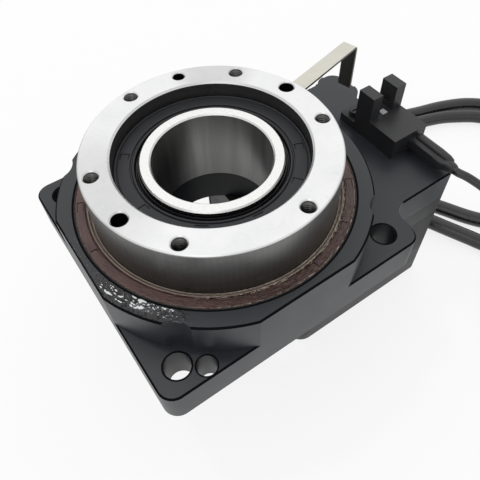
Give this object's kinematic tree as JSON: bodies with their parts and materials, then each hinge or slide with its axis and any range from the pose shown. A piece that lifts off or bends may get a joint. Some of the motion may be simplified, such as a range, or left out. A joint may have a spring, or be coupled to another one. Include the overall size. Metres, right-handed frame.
{
  "type": "hollow rotary platform",
  "caption": "Geared rotary table round a fixed hollow sleeve, on a square flanged base with an under-slung square motor, a slotted limit sensor with its flag, and loose cables.",
  "frame": {"origin": "centre of the base's four mounting holes, on the hollow axis, at the base's mounting face", "axes": "+Z along the hollow axis towards the rotary table; +X towards the motor and the limit sensor"},
  "size_m": [0.2206, 0.1523, 0.0831],
  "materials": {
    "black_anodised": "satin black anodised",
    "motor_black": "satin black",
    "ground_steel": "fine ground",
    "bright_steel": "turned and polished",
    "bearing_steel": "ground",
    "cage_brass": "machined",
    "clamp_steel": "blackened",
    "gear_steel": "hobbed",
    "seal_black": "moulded",
    "seal_brown": "moulded, oily",
    "screw_steel": "zinc plated",
    "screw_black": "black oxide",
    "magnet_iron": "ground",
    "disc_steel": "etched",
    "copper_wire": "enamelled copper",
    "board_green": "solder mask",
    "cable_black": "satin sheath",
    "plug_black": "moulded",
    "window_grey": "smooth",
    "flag_strip": "rolled strip"
  },
  "bodies": {
    "base": {"housing": "black_anodised", "bottom_cover": "black_anodised", "cover_screws": "screw_steel", "hollow_sleeve": "bright_steel", "sleeve_screws": "screw_black", "outer_oil_seal": "seal_brown", "bearing_clamp_ring": "clamp_steel", "bearing_outer_lower": "bearing_steel", "bearing_outer_upper": "bearing_steel", "motor_flange": "motor_black", "motor_stator": "motor_black", "motor_windings": "copper_wire", "motor_bearings": "bearing_steel", "motor_rear_bell": "motor_black", "encoder_cover": "motor_black", "encoder_board": "board_green", "motor_bolts": "screw_black", "power_boot": "cable_black", "encoder_boot": "cable_black", "power_cable": "cable_black", "encoder_cable": "cable_black", "power_plug": "plug_black", "encoder_plug": "plug_black", "sensor_body": "plug_black", "sensor_window": "window_grey", "sensor_screws": "screw_steel", "sensor_plug": "plug_black", "sensor_lead": "cable_black", "sensor_coil": "cable_black"},
    "table": {"rotary_table": "ground_steel", "inner_oil_seal": "seal_black", "bearing_inner_ring": "bearing_steel", "table_gear": "gear_steel", "gear_screws": "screw_black", "sensor_flag": "flag_strip", "flag_screw": "screw_steel"},
    "rotor": {"pinion": "gear_steel", "motor_shaft": "bearing_steel", "motor_rotor": "magnet_iron", "encoder_disc": "disc_steel"},
    "rollers": {"bearing_rollers": "bearing_steel", "bearing_cage": "cage_brass"}
  },
  "joints": [
    {"name": "table_spin", "type": "hinge", "parent": "base", "child": "table", "pos_m": [0, 0, 0], "axis": [0, 0, 1], "continuous": true},
    {"name": "motor_spin", "type": "hinge", "parent": "base", "child": "rotor", "pos_m": [0.0408, 0, 0], "axis": [0, 0, 1], "continuous": true},
    {"name": "roller_orbit", "type": "hinge", "parent": "base", "child": "rollers", "pos_m": [0, 0, 0], "axis": [0, 0, 1], "continuous": true}
  ],
  "couplings": [
    {"joint": "motor_spin", "follows": "table_spin", "ratio": -5},
    {"joint": "roller_orbit", "follows": "table_spin", "ratio": 0.484}
  ]
}
